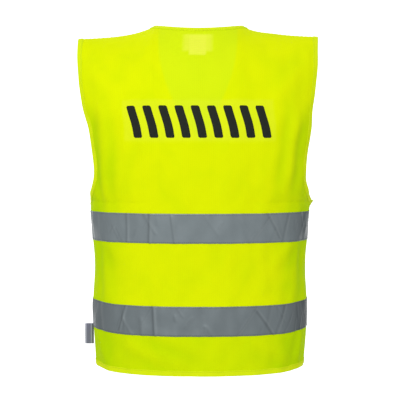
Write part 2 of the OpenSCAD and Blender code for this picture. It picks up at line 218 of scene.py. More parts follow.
# Folds of the fabric: (phi and h of one end, phi and h of the other, half width, height). Degrees and millimetres
FOLDS = {
    "back": [(50, 150, 55, 325, 15, 4), (38, 210, 46, 310, 14, 1.4), (-51, 150, -46, 320, 15, 4.6),
             (-37, 225, -37, 330, 14, 1.4), (43, 569, 8, 606, 13, 2.6), (31, 545, -4, 586, 14, 1.4),
             (-30, 565, -55, 603, 15, 2.4), (76, 350, 46, 420, 16, 2), (-76, 350, -42, 430, 16, 2.6),
             (62, 400, 56, 500, 15, 2.2), (-63, 400, -57, 500, 15, 2.6), (25, 400, 22, 490, 16, 0.8),
             (-14, 395, -18, 490, 17, 1), (57, 50, 38, 125, 17, 1.8), (-57, 50, -36, 135, 17, 2),
             (70, 560, 60, 612, 14, 2.4), (-70, 555, -62, 612, 14, 2.6)],
    "left": [(52, 150, 54, 320, 15, 4), (38, 180, 30, 300, 15, 2.2), (74, 350, 48, 430, 15, 2.6),
             (60, 400, 52, 500, 15, 2.4), (26, 400, 22, 490, 15, 1.2), (48, 560, 20, 603, 14, 2.4),
             (58, 50, 42, 130, 16, 1.8), (68, 555, 62, 612, 14, 2.6)],
    "right": [(50, 160, 55, 325, 15, 4), (36, 170, 31, 290, 15, 2), (75, 350, 46, 425, 15, 2.6),
              (61, 395, 55, 495, 15, 2.6), (28, 400, 26, 495, 15, 1.2), (44, 555, 16, 605, 14, 2.2),
              (57, 55, 43, 120, 16, 1.8), (69, 560, 60, 612, 14, 2.6)],
}
# How far the armhole's lower end flares out at the wearer's left and right, how wide, and where it is highest
FLARE = {1: 0.0, -1: 0.0105}
FLARE_REACH, FLARE_GIRTH, FLARE_RISE = 0.012, 0.11, 0.006
# Slow ripples, each two waves multiplied: height, the first's length round and down, its phase, then the second's
RIPPLES = [(0.0010, 0.094, 0.31, 0.0, -0.5, 0.23), (0.0006, 0.043, -0.16, 1.0, 0.2, 0.12)]
# Folds and ripples die out this near the side (radians) and the ridge
CALM_SIDE, CALM_TOP, CALM_RUN = 0.20, 0.004, 0.035
# The fabric puckers along the seams, and dips in at them; above SEAM_TURN the seam is the shoulder's
PUCKER, PUCKER_PITCH, PUCKER_REACH = 0.00035, 0.0078, 0.0060
SEAM_DIP, SEAM_DIP_REACH, SEAM_TURN = 0.0006, 0.0018, 0.1


def fold_terms(part, phi, h):
    """Each fold's height at a point, and which way that point lies from its crest, in half widths."""
    s = GIRTH * phi
    for phi0, top, phi1, bottom, wide, tall in FOLDS[part.name]:
        s0, s1 = GIRTH * math.radians(phi0), GIRTH * math.radians(phi1)
        h0, h1, width, height = (v / 1000 for v in (top, bottom, wide, tall))
        length = math.hypot(s1 - s0, h1 - h0)
        along = ((s - s0) * (s1 - s0) + (h - h0) * (h1 - h0)) / length**2
        across = ((s - s0) * (h1 - h0) - (h - h0) * (s1 - s0)) / length / width
        ends = smooth((along + 0.15) / 0.4) * smooth((1.15 - along) / 0.4)
        yield height * ends, across


def relief(part, phi, h, p):
    """How far the fabric stands off the plain surface: folds, ripples, the seams and the armhole's flare."""
    out = np.zeros(np.shape(h))
    for height, across in fold_terms(part, phi, h):
        out += height * (1 - across**2 / 2) * np.exp(-across**2 / 2)
    s = GIRTH * phi * part.mirror
    for height, round_1, down_1, phase, round_2, down_2 in RIPPLES:
        out += (height * np.sin(2 * np.pi * (s / round_1 + h / down_1) + phase)
                * np.sin(2 * np.pi * (s / round_2 + h / down_2)))
    out *= smooth((np.pi / 2 - np.abs(phi)) / CALM_SIDE) * smooth((h - CALM_TOP) / CALM_RUN)
    along_seam = np.where(h < SEAM_TURN, np.abs(p[..., 0]), h)
    pucker = PUCKER * (np.sin(2 * np.pi * along_seam / PUCKER_PITCH) - 0.6)
    out += pucker * np.exp(-(p[..., 1] / PUCKER_REACH) ** 2) - SEAM_DIP * np.exp(-(p[..., 1] / SEAM_DIP_REACH) ** 2)
    hand = np.where(phi * part.mirror > 0, FLARE[1], FLARE[-1])
    reach = ((np.pi / 2 - np.abs(phi)) * FLARE_GIRTH) ** 2 + (h - ARMHOLE_Z + FLARE_RISE) ** 2
    return out + hand * np.exp(-reach / FLARE_REACH**2)


def world(part, v):
    return v * np.array([part.mirror, 1, 1])


def outward(part, phi, h):
    sp, sh = slopes(part.side, phi, h)
    return unit(np.cross(sh, sp)) * -part.side


def place(part, phi, h, off=0.0):
    """Points of the vest, off metres out from the middle of its fabric."""
    phi, h = np.broadcast_arrays(np.asarray(phi, float), np.asarray(h, float))
    p = base(part.side, phi, h)
    lift = part.lift * (1 - smooth((p[..., 0] - LIFT_NEAR) / (LIFT_FAR - LIFT_NEAR)))
    far = off + lift + relief(part, phi, h, p)
    return hang(world(part, p + outward(part, phi, h) * far[..., None]))


def step_in(part, phi, h, inward, a):
    """phi and h of the point that lies a metres along the surface from (phi, h), towards a world vector."""
    v = world(part, inward)
    for _ in range(WALK_STEPS):
        sp, sh = slopes(part.side, phi, h)
        pp, hh, ph = (sp * sp).sum(-1), (sh * sh).sum(-1), (sp * sh).sum(-1)
        vp, vh = (v * sp).sum(-1), (v * sh).sum(-1)
        far = a / WALK_STEPS / np.maximum(pp * hh - ph**2, 1e-9)
        phi = np.clip(phi + far * (vp * hh - vh * ph), -np.pi / 2, np.pi / 2)
        h = np.clip(h + far * (vh * pp - vp * ph), 0, VEST_H)
    return phi, h


# ---- Meshes

def new_mesh(name, verts, faces, material, uv=None, colours=None, flat=False):
    """A mesh object from points (n, 3) and faces, with UVs in metres and colours given per point."""
    mesh = bpy.data.meshes.new(name)
    mesh.from_pydata(verts.reshape(-1, 3).tolist(), [], faces if isinstance(faces, list) else faces.tolist())
    if uv is not None:
        layer = mesh.uv_layers.new(name="cloth")
        corner = np.empty(len(mesh.loops), np.int32)
        mesh.loops.foreach_get("vertex_index", corner)
        layer.data.foreach_set("uv", uv.reshape(-1, 2)[corner].astype(np.float32).ravel())
    if colours is not None:
        tone = mesh.color_attributes.new("tone", "FLOAT_COLOR", "POINT")
        rgba = np.concatenate([colours.reshape(-1, 3), np.ones((len(verts.reshape(-1, 3)), 1))], 1)
        tone.data.foreach_set("color", rgba.astype(np.float32).ravel())
    bm = bmesh.new()
    bm.from_mesh(mesh)
    bmesh.ops.recalc_face_normals(bm, faces=bm.faces)
    bm.to_mesh(mesh)
    bm.free()
    if not flat:
        mesh.shade_smooth()
    mesh.materials.append(material)
    obj = bpy.data.objects.new(name, mesh)
    bpy.context.scene.collection.objects.link(obj)
    return obj


def grid_faces(rows, cols, start=0, wrap_rows=False, wrap_cols=False):
    i, j = np.meshgrid(np.arange(rows if wrap_rows else rows - 1), np.arange(cols if wrap_cols else cols - 1),
                       indexing="ij")
    i2, j2 = (i + 1) % rows, (j + 1) % cols
    return start + np.stack([i * cols + j, i * cols + j2, i2 * cols + j2, i2 * cols + j], -1).reshape(-1, 4)


def lengths(points, axis=0):
    """Distance along a run of points, or along every row or column of a grid of them."""
    steps = np.linalg.norm(np.diff(points, axis=axis), axis=-1)
    return np.insert(np.cumsum(steps, axis), 0, 0, axis)


def repeated_faces(count, rings, sides):
    """The faces of a number of equal closed tubes whose points follow one another."""
    step = np.arange(count)[:, None, None] * rings * sides
    ends = np.array([range(sides), range((rings - 1) * sides, rings * sides)])
    return ((grid_faces(rings, sides, 0, False, True)[None] + step).reshape(-1, 4).tolist()
            + (ends[None] + step).reshape(-1, sides).tolist())


def sheet_mesh(name, outer, inner, material, colours=None):
    """A closed sheet between two grids of points, with UVs that run along it in metres from its middle column."""
    rows, cols = outer.shape[:2]
    across = lengths(outer, 1)
    across -= across[:, cols // 2:cols // 2 + 1]
    uv = np.stack([across, lengths(outer)], -1)
    n = rows * cols
    rim = np.concatenate([np.arange(cols - 1), np.arange(rows - 1) * cols + cols - 1,
                          (rows - 1) * cols + np.arange(cols - 1, 0, -1), np.arange(rows - 1, 0, -1) * cols])
    turned = np.roll(rim, -1)
    edge = np.stack([rim, turned, n + turned, n + rim], -1)
    faces = np.concatenate([grid_faces(rows, cols), grid_faces(rows, cols, n), edge])
    both = None if colours is None else np.stack([colours, colours])
    return new_mesh(name, np.stack([outer, inner]), faces, material, np.stack([uv, uv]), both)


def tube_mesh(name, rings, material, closed=False, flat=False):
    """A closed solid along rings of points, with UVs in metres along and round it."""
    m, k = rings.shape[:2]
    uv = np.stack(np.broadcast_arrays(lengths(rings.mean(1))[:, None], lengths(rings[m // 2])[None, :]), -1)
    faces = grid_faces(m, k, 0, closed, True).tolist()
    if not closed:
        faces += [list(range(k)), [(m - 1) * k + j for j in range(k)]]
    return new_mesh(name, rings, faces, material, uv, flat=flat)


def thread_sets(name, runs, material, length=STITCH_LENGTH, pitch=STITCH_PITCH, radius=STITCH_R, sides=5):
    """Rows of stitches along paths, each a short rounded thread that dips into the fabric at its ends."""
    share = np.array([0.0, 0.14, 0.5, 0.86, 1.0])
    thick = np.array([0.25, 0.85, 1.0, 0.85, 0.25])
    rise = np.array([-0.7, 0.1, 0.5, 0.1, -0.7])
    angle = 2 * np.pi * np.arange(sides) / sides
    blocks = []
    for path, normal in runs:
        far = lengths(path)
        count = int((far[-1] - length) / pitch)
        if count < 1:
            continue
        starts = (far[-1] - count * pitch) / 2 + pitch * np.arange(count)
        at = starts[:, None] + length * share
        centre = np.stack([np.interp(at, far, path[:, c]) for c in range(3)], -1)
        up = unit(np.stack([np.interp(at, far, normal[:, c]) for c in range(3)], -1))
        centre = centre + up * (radius * rise)[None, :, None]
        ahead = unit(centre[:, -1] - centre[:, 0])[:, None, :]
        sideways = unit(np.cross(ahead, up))
        ring = (np.cos(angle)[:, None] * sideways[:, :, None, :]
                + 0.8 * np.sin(angle)[:, None] * np.cross(sideways, ahead)[:, :, None, :])
        blocks.append(centre[:, :, None, :] + ring * (radius * thick)[None, :, None, None])
    verts = np.concatenate(blocks)
    return new_mesh(name, verts, repeated_faces(*verts.shape[:3]), material)


# ---- How the pieces ride


def settle(obj, part, nodes=()):
    """Puts a piece on the body, or, for a front's piece, bakes its transform where it lies; hides the nodes it
    stands for.
    """
    if part.body:
        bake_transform(obj)
    else:
        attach(obj, BODY)
    if nodes:
        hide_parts(*nodes)
    return obj


# ---- Materials

def shader(name):
    material = bpy.data.materials.new(name)
    material.use_nodes = True
    tree = material.node_tree
    return material, tree, tree.nodes["Principled BSDF"]


def link(tree, a, b):
    tree.links.new(a, b)


def node(tree, kind, **values):
    made = tree.nodes.new(kind)
    for key, value in values.items():
        if hasattr(made, key):
            setattr(made, key, value)
        else:
            made.inputs[key].default_value = value
    return made


def settings(shader_node, **values):
    """Sets a shader's sockets, named with an underscore for each space."""
    for key, value in values.items():
        shader_node.inputs[key.replace("_", " ")].default_value = value


def wave_scale(length):
    """The Wave texture's scale for bands one length apart."""
    return 2 * math.pi / (20 * length)


def uv_of(tree):
    return node(tree, "ShaderNodeUVMap", uv_map="cloth").outputs["UV"]


def math_node(tree, operation, a, b):
    made = node(tree, "ShaderNodeMath", operation=operation)
    for socket, value in zip(made.inputs, (a, b)):
        if isinstance(value, (int, float)):
            socket.default_value = value
        else:
            link(tree, value, socket)
    return made.outputs[0]


def mix_colour(tree, share, a, b):
    made = node(tree, "ShaderNodeMix", data_type="RGBA")
    for socket, value in ((made.inputs["Factor"], share), (made.inputs[6], a), (made.inputs[7], b)):
        if isinstance(value, (int, float)):
            socket.default_value = value
        elif isinstance(value, tuple):
            socket.default_value = (*value, 1)
        else:
            link(tree, value, socket)
    return made.outputs[2]


def tinted(tree, colour, pattern, share, other):
    """A colour with a share of another one mixed in where the pattern is high."""
    return mix_colour(tree, math_node(tree, "MULTIPLY", pattern, share), colour, other)


def bands(tree, length, direction, vector):
    made = node(tree, "ShaderNodeTexWave", wave_type="BANDS", bands_direction=direction, Scale=wave_scale(length))
    link(tree, vector, made.inputs["Vector"])
    return made.outputs["Fac"]


def crossed(tree, vector, x_length, y_length):
    """Bands along both directions, multiplied: a knit's or a weave's pattern."""
    return math_node(tree, "MULTIPLY", bands(tree, x_length, "X", vector), bands(tree, y_length, "Y", vector))


def noise(tree, size, vector, detail=3.0):
    made = node(tree, "ShaderNodeTexNoise", Scale=1 / size, Detail=detail)
    link(tree, vector, made.inputs["Vector"])
    return made.outputs["Fac"]


def bump(tree, height, distance, strength=1.0, under=None):
    made = node(tree, "ShaderNodeBump", Strength=strength, Distance=distance)
    link(tree, height, made.inputs["Height"])
    if under is not None:
        link(tree, under, made.inputs["Normal"])
    return made.outputs["Normal"]


# The knit's yellow, and the greener colour that its painted shade and random clouding mix in
YELLOW, GREENER = (0.840, 0.940, 0.000), (0.560, 0.800, 0.000)
# The knit's pitch across and down, and that of the coarser mesh in it
WALE, COURSE, MESH_X, MESH_Y = 0.00115, 0.00095, 0.0036, 0.0030


def knit_material():
    """Fluorescent knitted polyester: fine wales and courses, a coarser mesh, a little light through it."""
    material, tree, p = shader("fluorescent_knit")
    uv = uv_of(tree)
    tone = node(tree, "ShaderNodeAttribute", attribute_name="tone")
    split = node(tree, "ShaderNodeSeparateColor")
    link(tree, tone.outputs["Color"], split.inputs[0])
    knit = crossed(tree, uv, WALE, COURSE)
    # Painted shade from the tone attribute, plus random clouding, turns the yellow greener
    cloudy = math_node(tree, "MULTIPLY", math_node(tree, "SUBTRACT", noise(tree, 0.060, uv), 0.45), 0.7)
    shade = math_node(tree, "ADD", split.outputs[0], cloudy)
    colour = mix_colour(tree, shade, YELLOW, GREENER)
    # Painted shade where the fronts' V neck shows through the back
    colour = mix_colour(tree, split.outputs[1], colour, (0.690, 0.920, 0.012))
    # Painted light where labels behind show through, and the print's paler film
    colour = mix_colour(tree, split.outputs[2], colour, (0.950, 1.000, 0.085))
    colour = tinted(tree, colour, knit, 0.22, (0.50, 0.66, 0.000))
    colour = tinted(tree, colour, crossed(tree, uv, MESH_X, MESH_Y), 0.10, (0.45, 0.66, 0.000))
    # Lines across those pale patches, as of the labels' woven lines showing through
    rows = math_node(tree, "MULTIPLY", bands(tree, 0.0042, "Y", uv), split.outputs[2])
    colour = tinted(tree, colour, rows, 0.30, (0.72, 0.90, 0.01))
    link(tree, colour, p.inputs["Base Color"])
    # A faint painted glow: the cloth emits a little of its own colour, standing in for its fluorescence, in shade
    # too
    link(tree, colour, p.inputs["Emission Color"])
    settings(p, Emission_Strength=0.06, Roughness=0.85, Specular_IOR_Level=0.05, Sheen_Weight=0.05,
             Sheen_Roughness=0.45, Sheen_Tint=(0.85, 1.0, 0.02, 1))
    normal = bump(tree, knit, 0.00016, 0.55)
    link(tree, bump(tree, noise(tree, 0.0045, uv, 4.0), 0.00025, 0.35, normal), p.inputs["Normal"])
    through = node(tree, "ShaderNodeBsdfTranslucent")
    link(tree, colour, through.inputs["Color"])
    both = node(tree, "ShaderNodeMixShader", Fac=0.16)
    link(tree, p.outputs[0], both.inputs[1])
    link(tree, through.outputs[0], both.inputs[2])
    link(tree, both.outputs[0], tree.nodes["Material Output"].inputs["Surface"])
    return material


def tape_material():
    """Retroreflective tape: glass beads on grey fabric, finely grained, with faint rub marks."""
    material, tree, p = shader("bead_tape")
    uv = uv_of(tree)
    grain = noise(tree, 0.0007, uv, 2.0)
    rub = noise(tree, 0.030, uv, 5.0)
    tone = node(tree, "ShaderNodeAttribute", attribute_name="tone")
    split = node(tree, "ShaderNodeSeparateColor")
    link(tree, tone.outputs["Color"], split.inputs[0])
    colour = mix_colour(tree, rub, (0.200, 0.240, 0.256), (0.262, 0.305, 0.320))
    colour = tinted(tree, colour, grain, 0.35, (0.150, 0.180, 0.190))
    # Painted shade and painted highlight from the tone attribute
    colour = mix_colour(tree, split.outputs[0], colour, (0.045, 0.055, 0.060))
    colour = mix_colour(tree, split.outputs[1], colour, (0.420, 0.470, 0.480))
    link(tree, colour, p.inputs["Base Color"])
    rough = math_node(tree, "ADD", math_node(tree, "MULTIPLY", rub, 0.20), 0.34)
    link(tree, rough, p.inputs["Roughness"])
    settings(p, Metallic=0.35)
    weave = crossed(tree, uv, 0.0006, 0.0006)
    normal = bump(tree, weave, 0.00005, 0.4)
    link(tree, bump(tree, grain, 0.00006, 0.5, normal), p.inputs["Normal"])
    return material


def woven_material(name, colour, dark, rib, rib_y, roughness=0.8, depth=0.0002, sheen=0.04):
    """A narrow woven tape or label: ribs one way, finer ones across, and a slight change of colour."""
    material, tree, p = shader(name)
    uv = uv_of(tree)
    ribs = crossed(tree, uv, rib, rib_y)
    worn = tinted(tree, colour, noise(tree, 0.012, uv), 0.6, dark)
    link(tree, tinted(tree, worn, ribs, 0.25, dark), p.inputs["Base Color"])
    settings(p, Roughness=roughness, Specular_IOR_Level=0.12, Sheen_Weight=sheen, Sheen_Tint=(*colour, 1))
    link(tree, bump(tree, ribs, depth, 0.6), p.inputs["Normal"])
    return material


def thread_material(name, colour):
    material, tree, p = shader(name)
    place_at = node(tree, "ShaderNodeTexCoord").outputs["Object"]
    twist = noise(tree, 0.0008, place_at, 2.0)
    link(tree, mix_colour(tree, twist, colour, tuple(0.7 * c for c in colour)), p.inputs["Base Color"])
    settings(p, Roughness=0.55, Specular_IOR_Level=0.2)
    link(tree, bump(tree, twist, 0.0001, 0.6), p.inputs["Normal"])
    return material


def striped_material(name, ground, stripe, spacing, width_share, roughness=0.6):
    """A woven label with plain lines in place of its writing."""
    material, tree, p = shader(name)
    uv = uv_of(tree)
    cut = math_node(tree, "GREATER_THAN", bands(tree, spacing, "Y", uv), 1 - width_share)
    weave = crossed(tree, uv, 0.0005, 0.0005)
    colour = tinted(tree, tinted(tree, ground, cut, 0.8, stripe), weave, 0.15, stripe)
    link(tree, colour, p.inputs["Base Color"])
    settings(p, Roughness=roughness, Sheen_Weight=0.15)
    link(tree, bump(tree, weave, 0.00008, 0.5), p.inputs["Normal"])
    return material


def print_material():
    """Matte black screen print that fills the knit and lets a little of it through."""
    material, tree, p = shader("screen_print")
    uv = uv_of(tree)
    knit = crossed(tree, uv, WALE, COURSE)
    colour = mix_colour(tree, noise(tree, 0.006, uv, 5.0), (0.010, 0.014, 0.011), (0.022, 0.027, 0.020))
    colour = tinted(tree, colour, knit, 0.15, (0.05, 0.06, 0.02))
    link(tree, colour, p.inputs["Base Color"])
    settings(p, Roughness=0.75, Specular_IOR_Level=0.12)
    link(tree, bump(tree, knit, 0.00010, 0.5), p.inputs["Normal"])
    return material


KNIT = knit_material()
TAPE = tape_material()
BINDING = woven_material("binding_ribbed", (0.800, 0.930, 0.004), (0.600, 0.800, 0.000), 0.0009, 0.0011)
SEAM = woven_material("seam_allowance_knit", (0.66, 0.82, 0.006), (0.45, 0.62, 0.002), 0.0012, 0.0010)
HOOK = woven_material("hook_tape_nylon", (0.60, 0.78, 0.02), (0.44, 0.60, 0.01), 0.0011, 0.0011, 0.5)
LOOP = woven_material("loop_tape_pile", (0.62, 0.80, 0.02), (0.46, 0.62, 0.01), 0.0008, 0.0008, 0.95, 0.0003, 0.5)
LABEL = striped_material("label_satin", (0.82, 0.82, 0.80), (0.30, 0.31, 0.33), 0.0040, 0.22)
CARE = striped_material("care_satin", (0.84, 0.84, 0.82), (0.40, 0.41, 0.42), 0.0030, 0.18)
TAG = striped_material("tag_slate", (0.160, 0.160, 0.235), (0.42, 0.43, 0.54), 0.0095, 0.10)
INK = print_material()
THREAD = thread_material("thread_lime", (0.560, 0.740, 0.004))
# Grey thread for the tapes, dark so that its stitches also stand in for the shadow along the tapes' edges
GREY_THREAD_EDGE_SHADOW = thread_material("thread_grey", (0.110, 0.130, 0.135))
WHITE_THREAD = thread_material("thread_white", (0.75, 0.76, 0.72))


# ---- Cloth

def rows_between(top, bottom, cell=CELL):
    return np.linspace(top, bottom, max(3, int(round((bottom - top) / cell)) + 1))


def panel_rows():
    """Rows from the ridge down, closer together where the shoulders and the armholes round over."""
    arch = ARMHOLE_Z - ARMHOLE_ROUND
    chest = arch * (np.arange(80) / 80) ** 1.5
    bend = arch + ARMHOLE_ROUND * np.sin(np.pi / 2 * np.arange(26) / 26)
    return np.concatenate([chest, bend, rows_between(ARMHOLE_Z, VEST_H)])


ROWS = panel_rows()


def back_columns(h):
    """Columns of the back at each height, lined up with the ends of the neck."""
    neck_share = float(phi_at(NECK_W, 0.0) / edge_phi(0.0))
    inner = phi_at(NECK_W * np.sin(np.pi / 2 * np.arange(1, 31) / 30), 0.0) / edge_phi(0.0)
    half = np.concatenate([inner, np.linspace(neck_share, 1, 51)[1:]])
    share = np.concatenate([-half[::-1], [0], half])
    return share[None, :] * edge_phi(h)[:, None]


def front_columns(h, inner_x=None, cols=86):
    a = phi_at(neckline_x(h) if inner_x is None else inner_x, h)
    return a[:, None] + (edge_phi(h) - a)[:, None] * np.linspace(0, 1, cols)[None, :]


# Painted shade: the cloth is painted darker as it turns to the sides (degrees), below the shoulders, and towards
# the hem
SIDE_FROM, SIDE_RUN, SIDE_SHADE, SIDE_TOP, SIDE_FADE = 34, 40, 0.85, 0.10, 0.12
HEM_FROM, HEM_RUN, HEM_SHADE = 0.49, 0.1, 0.42
# Painted shade along each fold's flanks: strength per metre of fold height, where it lies off the crest in half
# widths, and its softness
FOLD_SHADE, FOLD_FLANK, FOLD_SOFT = 70, 1.5, 0.9
# Painted shade inside the fronts' V neck where it shows through the back: its strength and soft edge. The fronts
# lie further off than the back, so their neckline shows this much smaller through it from eye height
V_NECK_SHADE, V_NECK_SHADE_SOFT, FAR_SCALE, EYE_Z = 0.45, 0.006, 1.12, -0.218
# Painted light where labels behind the cloth show through it, and a paler film round the print on it: (node,
# strength, margins at its side, top and bottom, soft edge)
PATCHES = [("neck_label", 0.62, 0, 0, 0, 0.003), ("care_label", 0.95, 0, 0, 0, 0.003),
           ("back_print", 0.14, 0.007, 0.010, 0.006, 0.004)]


def tone(part, phi, h):
    """What is painted on the cloth per point: painted shade, painted shade inside the front neckline seen through
    it, and pale patches of painted light where labels behind it show through, with a paler film round the print.
    """
    turned = (smooth((np.abs(phi) - math.radians(SIDE_FROM)) / math.radians(SIDE_RUN))
              * smooth((h - SIDE_TOP) / SIDE_FADE))
    shade = SIDE_SHADE * turned + HEM_SHADE * smooth((h - HEM_FROM) / HEM_RUN)
    for height, across in fold_terms(part, phi, h):
        shade += FOLD_SHADE * height * np.exp(-((np.abs(across) - FOLD_FLANK) / FOLD_SOFT) ** 2)
    v_neck_shade, label_light_and_film = np.zeros_like(shade), np.zeros_like(shade)
    if part is BACK:
        p = base(1, phi, h)
        x, z = np.abs(p[..., 0]), p[..., 2]
        seen_z = (z - EYE_Z) * FAR_SCALE + EYE_Z
        inside = neckline_x(np.clip(-seen_z, 0, V_DEPTH * 1.2)) - x * FAR_SCALE
        # Painted shade inside the fronts' V neck, as seen through the back from eye height
        v_neck_shade = V_NECK_SHADE * smooth(inside / V_NECK_SHADE_SOFT) * smooth((seen_z + V_DEPTH + 0.020) / 0.03)
        # Painted light where the labels behind show through, and the paler film round the print
        for node_name, strength, side, above, below, soft in PATCHES:
            low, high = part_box(node_name)
            within = (smooth((high.x + side - x) / soft + 0.5) * smooth((high.z + above - z) / soft + 0.5)
                      * smooth((z - low.z + below) / soft + 0.5))
            label_light_and_film = np.maximum(label_light_and_film, strength * within)
    return np.stack([shade, v_neck_shade, label_light_and_film], -1)


def cloth_panel(part, name, phi, nodes):
    h = np.broadcast_to(ROWS[:, None], phi.shape)
    outer, inner = place(part, phi, h, CLOTH_T / 2), place(part, phi, h, -CLOTH_T / 2)
    piece = sheet_mesh(name, outer, inner, KNIT, tone(part, phi, h))
    return settle(piece, part, nodes)


back_cloth = cloth_panel(BACK, "back_cloth", back_columns(ROWS), ["back_panel"])
left_cloth = cloth_panel(LEFT, "left_front_cloth", front_columns(ROWS),
                         ["left_front_side_panel", "left_front_flap_panel"])
right_cloth = cloth_panel(RIGHT, "right_front_cloth", front_columns(ROWS),
                          ["right_front_side_panel", "right_front_flap_panel"])
trims = {"back": [], "left": [], "right": []}


def trim(part, piece, nodes=()):
    trims[part.name].append(settle(piece, part, nodes))


# ---- Reflective tape

def creases(seed, count, extra):
    """Sharp creases across a tape: (phi, offset from its middle, lean, half length, half width, height)."""
    rng = np.random.default_rng(seed)
    made = [(rng.uniform(-80, 80), rng.uniform(-0.018, 0.018), rng.uniform(-0.9, 0.9), rng.uniform(0.008, 0.026),
             rng.uniform(0.0018, 0.0042), rng.uniform(0.0002, 0.0006)) for _ in range(count)]
    return made + extra


# The deepest creases: at the left third of the upper tape, and crossing ones to the right of both
CREASES = {
    ("back", 0): creases(11, 26, [
        (26, 0.0, 0.08, 0.030, 0.0028, 0.0013), (13.5, 0.002, -0.12, 0.028, 0.0024, 0.0010),
        (-32, 0.004, 0.9, 0.028, 0.0030, 0.0012), (-41, -0.004, -0.8, 0.026, 0.0030, 0.0012),
        (-50, 0.0, 0.25, 0.028, 0.0034, 0.0014), (40, 0.0, 0.05, 0.030, 0.0030, 0.0010)]),
    ("back", 1): creases(12, 28, [
        (24, 0.0, -0.06, 0.030, 0.0028, 0.0013), (-25, 0.0, 0.8, 0.028, 0.0030, 0.0012),
        (-36, 0.004, -0.9, 0.027, 0.0032, 0.0013), (-47, 0.0, 0.5, 0.028, 0.0034, 0.0014),
        (44, -0.002, 0.4, 0.026, 0.0030, 0.0011)]),
    ("left", 0): creases(21, 24, []), ("left", 1): creases(22, 24, []),
    ("right", 0): creases(31, 24, []), ("right", 1): creases(32, 24, []),
}


def crease_terms(part, level, phi, h):
    """Each crease's height at a point, and how far across it that point lies, in half widths."""
    down = h - sum((UPPER_BAND, LOWER_BAND)[level]) / 2
    for at, middle, lean, reach, width, height in CREASES[(part.name, level)]:
        across = GIRTH * (phi - math.radians(at)) - lean * (down - middle)
        yield height * smooth((reach - np.abs(down - middle)) / 0.006), across / width


def crinkle(part, level, phi, h):
    """How far a tape's face stands off at its creases. It lies flat where the binding covers its end."""
    top, bottom = (UPPER_BAND, LOWER_BAND)[level]
    down, s = h - (top + bottom) / 2, GIRTH * phi
    out = sum(height * np.exp(-across**2) for height, across in crease_terms(part, level, phi, h))
    slow = np.sin(2 * np.pi * (s / 0.031 + 9 * down)) * np.sin(2 * np.pi * (s / 0.077 - 6 * down) + level + 1)
    pucker = np.exp(-((np.abs(down) - (bottom - top) / 2) / 0.0035) ** 2) * np.sin(2 * np.pi * s / 0.0102)
    out += 0.00028 * (1 + slow) + 0.00014 * (1 + pucker)
    if part is not BACK:
        out *= smooth((body_w(h) * np.sin(phi) + OVERLAP - BINDING_W - 0.001) / 0.012)
    return out


# Painted shade on the tapes: darker as they turn to each side (degrees), and darker on the lower one
TAPE_TURN, TAPE_RUN, TAPE_SHADE, LOWER_SHADE = 40, 42, {1: 0.34, -1: 0.70}, 0.20
# Painted shade on one flank of each crease and a painted highlight on the other, and where they lie off its crest
# in half widths
CREASE_DARK, CREASE_LIGHT, CREASE_FLANK = 210, 110, 0.9


def tape_tone(part, level, phi, h):
    """Painted shade and highlight of a tape per point: darker as it turns to the sides, a painted dark and a
    painted light side to each crease.
    """
    turned = smooth((np.abs(phi) - math.radians(TAPE_TURN)) / math.radians(TAPE_RUN))
    dark = turned * np.where(phi * part.mirror > 0, TAPE_SHADE[1], TAPE_SHADE[-1]) + LOWER_SHADE * level + 0.05
    light = np.zeros_like(dark)
    for height, across in crease_terms(part, level, phi, h):
        dark = dark + CREASE_DARK * height * np.exp(-(across / CREASE_FLANK - 1) ** 2)
        light = light + CREASE_LIGHT * height * np.exp(-(across / CREASE_FLANK + 1) ** 2)
    return np.stack([np.clip(dark, 0, 0.9), np.clip(light, 0, 0.8), np.zeros_like(dark)], -1)


def tape_columns(part, h):
    if part is BACK:
        return edge_phi(h)[:, None] * np.linspace(-1, 1, 300)[None, :]
    return front_columns(h, -OVERLAP + 0.004, 160)


def tape_face(part, level, phi, h):
    return place(part, phi, h, TAPE_HIGH + crinkle(part, level, phi, h))


def tape(part, level, name, nodes):
    top, bottom = (UPPER_BAND, LOWER_BAND)[level]
    rows = rows_between(top, bottom, TAPE_CELL)
    phi = tape_columns(part, rows)
    h = np.broadcast_to(rows[:, None], phi.shape)
    face = tape_face(part, level, phi, h)
    trim(part, sheet_mesh(name, face, place(part, phi, h, TAPE_LOW), TAPE, tape_tone(part, level, phi, h)), nodes)
    runs = []
    for edge in (top + 0.0022, bottom - 0.0022):
        along = tape_columns(part, np.array([edge]))[0]
        runs.append((tape_face(part, level, along, np.full(along.shape, edge)),
                     world(part, outward(part, along, np.full(along.shape, edge)))))
    # The dark stitches also paint a shadow line along the tape's edges
    trim(part, thread_sets(name + "_stitches", runs, GREY_THREAD_EDGE_SHADOW), ())


tape(BACK, 0, "back_upper_tape", ["back_upper_band"])
tape(BACK, 1, "back_lower_tape", ["back_lower_band"])
for part in (LEFT, RIGHT):
    for level, which in enumerate(("upper", "lower")):
        tape(part, level, f"{part.name}_front_{which}_tape",
             [f"{part.name}_side_{which}_band", f"{part.name}_flap_{which}_band"])


# ---- Bindings

def binding_section(thick):
    """The rounded U of a binding: (distance in from the edge, offset from the fabric's middle) going round it."""
    low = CLOTH_T / 2 + 0.00008
    turn = np.radians(np.linspace(90, 270, 9))
    nose = [(thick * math.cos(a) * 1.2, thick * math.sin(a)) for a in turn]
    top = [(BINDING_W, low), (BINDING_W, 0.8 * thick), (BINDING_W - 0.0007, thick), (BINDING_W * 0.6, thick * 0.97),
           (BINDING_W * 0.3, thick)]
    inner = [(BINDING_W, -low), (0.0, -low), (0.0, low)]
    return top + nose + [(a, -b) for a, b in top[::-1]] + inner[1:]


def stations(part, phi, h):
    return [(part, float(a), float(b)) for a, b in zip(phi, h)]


